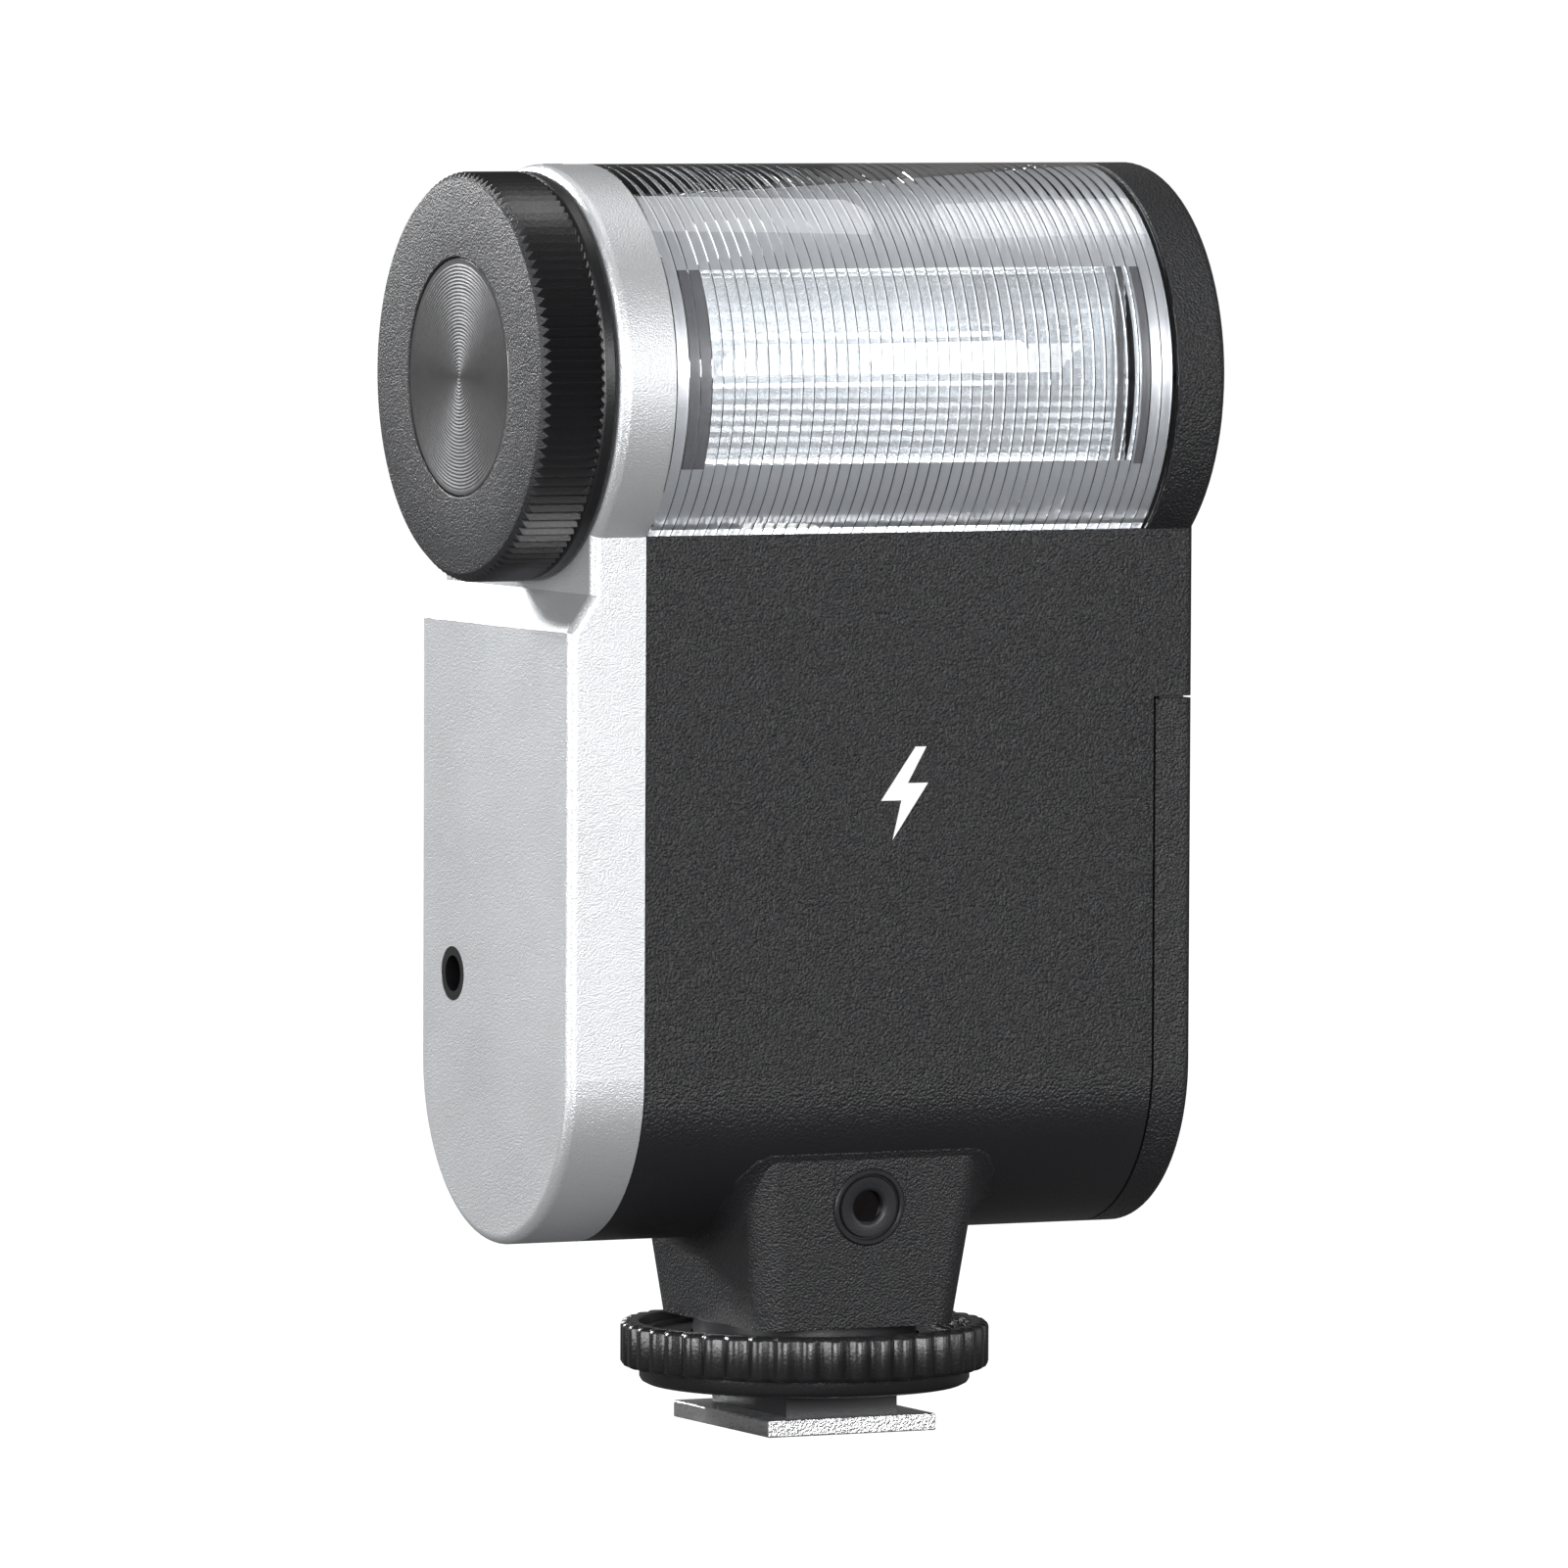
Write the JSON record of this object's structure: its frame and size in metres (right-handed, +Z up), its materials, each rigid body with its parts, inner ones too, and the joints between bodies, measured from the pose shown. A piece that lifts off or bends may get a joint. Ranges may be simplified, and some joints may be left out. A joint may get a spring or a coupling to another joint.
{
  "type": "speedlight flash",
  "caption": "Compact camera flash with a round drum head behind a ribbed lens, a knurled power dial, a side battery door and a lockable shoe foot.",
  "frame": {"origin": "centre of the shoe foot plate's underside", "axes": "+Z up from the foot to the head, -Y the way the light leaves, -X the dial's side, +X the battery door's side"},
  "size_m": [0.0746, 0.0428, 0.1264],
  "materials": {
    "silver_paint": "satin metallic silver paint on plastic",
    "black_grain": "fine pebble grain",
    "black_smooth": "smooth satin",
    "black_smooth_case": "satin, finer than the case",
    "black_gloss": "polished black",
    "knob_black": "fine sandblast grain",
    "spun_metal": "concentric spun cuts, dark anodised",
    "clear_lens": "clear, ribbed round the drum",
    "clear_panel": "clear, cross ribbed",
    "silver_liner": "bright silver coating",
    "bright_reflector": "polished",
    "tube_glass": "clear",
    "bright_steel": "plated",
    "foot_steel": "plated, with sheared edges",
    "dark_screw": "blackened",
    "silicone": "translucent white",
    "coil_wrap": "yellow tape",
    "cell_wrap": "printed sleeve without any print",
    "lamp_amber": "diffuse amber",
    "plate_grey": "satin",
    "board_green": "solder mask",
    "board_black": "moulded",
    "capacitor_sleeve": "shrink sleeve",
    "transformer_core": "ferrite",
    "lead_red": "insulated wire",
    "sensor_pane": "dark infrared pane",
    "contact_brass": "polished"
  },
  "bodies": {
    "case": {"side_cover": "silver_paint", "front_shell": "black_grain", "rear_shell": "black_grain", "case_screws": "dark_screw", "lens_cover": "clear_lens", "lens_liner": "silver_liner", "inner_panel": "clear_panel", "reflector": "bright_reflector", "flash_tube": "tube_glass", "tube_electrodes": "bright_steel", "tube_grommets": "silicone", "head_frame": "black_smooth", "trigger_coil": "coil_wrap", "rotary_switch": "black_smooth", "switch_nut": "bright_steel", "jack_bush": "black_gloss", "jack_body": "black_smooth", "battery_holder": "black_smooth", "cell_lower": "cell_wrap", "cell_upper": "cell_wrap", "cell_contacts": "bright_steel", "cell_springs": "bright_steel", "power_switch": "black_smooth", "mode_switch": "black_smooth", "button_switch": "black_smooth", "ready_lamp": "lamp_amber", "scale_plate": "plate_grey", "main_board": "board_green", "board_parts": "board_black", "main_capacitor": "capacitor_sleeve", "transformer": "transformer_core", "power_transistor": "board_black", "foot_leads": "lead_red", "tube_leads": "lead_red", "foot_pedestal": "black_grain", "sensor_tab": "black_grain", "sensor_bezel": "black_smooth", "sensor_window": "sensor_pane", "photodiode": "board_black", "foot_plate": "foot_steel", "contact_insulator": "black_smooth", "foot_neck": "black_smooth", "foot_screws": "bright_steel"},
    "dial": {"dial_knob": "knob_black", "dial_inlay": "spun_metal", "dial_shaft": "bright_steel"},
    "door_slider": {"door_bracket": "black_smooth", "door_pin": "bright_steel"},
    "door": {"battery_door": "black_smooth_case", "door_contact": "bright_steel"},
    "lock_washer": {"pressure_plate": "bright_steel"},
    "lock_ring": {"lock_ring": "black_gloss"},
    "contact": {"contact_pin": "contact_brass", "contact_spring": "bright_steel"},
    "power_slider": {"power_slider": "black_smooth"},
    "mode_slider": {"mode_slider": "black_smooth"},
    "test_button": {"test_button": "black_smooth"}
  },
  "joints": [
    {"name": "dial_turn", "type": "hinge", "parent": "case", "child": "dial", "pos_m": [-0.036, -0.0034, 0.1055], "axis": [1, 0, 0], "range_deg": [0, 240]},
    {"name": "door_slide", "type": "slide", "parent": "case", "child": "door_slider", "axis": [0, 0, -1], "range_m": [0, 0.003]},
    {"name": "door_swing", "type": "hinge", "parent": "door_slider", "child": "door", "pos_m": [0.03215, 0.01555, 0.049], "axis": [0, 0, 1], "range_deg": [0, 100]},
    {"name": "lock_travel", "type": "slide", "parent": "case", "child": "lock_washer", "axis": [0, 0, -1], "range_m": [0, 0.0015]},
    {"name": "lock_turn", "type": "hinge", "parent": "lock_washer", "child": "lock_ring", "pos_m": [0, 0, 0.007], "axis": [0, 0, 1], "range_deg": [-360, 0]},
    {"name": "contact_press", "type": "slide", "parent": "case", "child": "contact", "axis": [0, 0, 1], "range_m": [0, 0.0006], "stiffness_N_per_m": 500, "springref_m": -0.0005, "deforming": ["contact_spring"]},
    {"name": "power_slide", "type": "slide", "parent": "case", "child": "power_slider", "axis": [1, 0, 0], "range_m": [0, 0.003]},
    {"name": "mode_slide", "type": "slide", "parent": "case", "child": "mode_slider", "axis": [1, 0, 0], "range_m": [0, 0.003]},
    {"name": "test_press", "type": "slide", "parent": "case", "child": "test_button", "axis": [0, -1, 0], "range_m": [0, 0.0008], "stiffness_N_per_m": 600, "springref_m": -0.0006}
  ],
  "couplings": [
    {"joint": "lock_turn", "follows": "lock_travel", "rad_per_m": -4188.8}
  ]
}
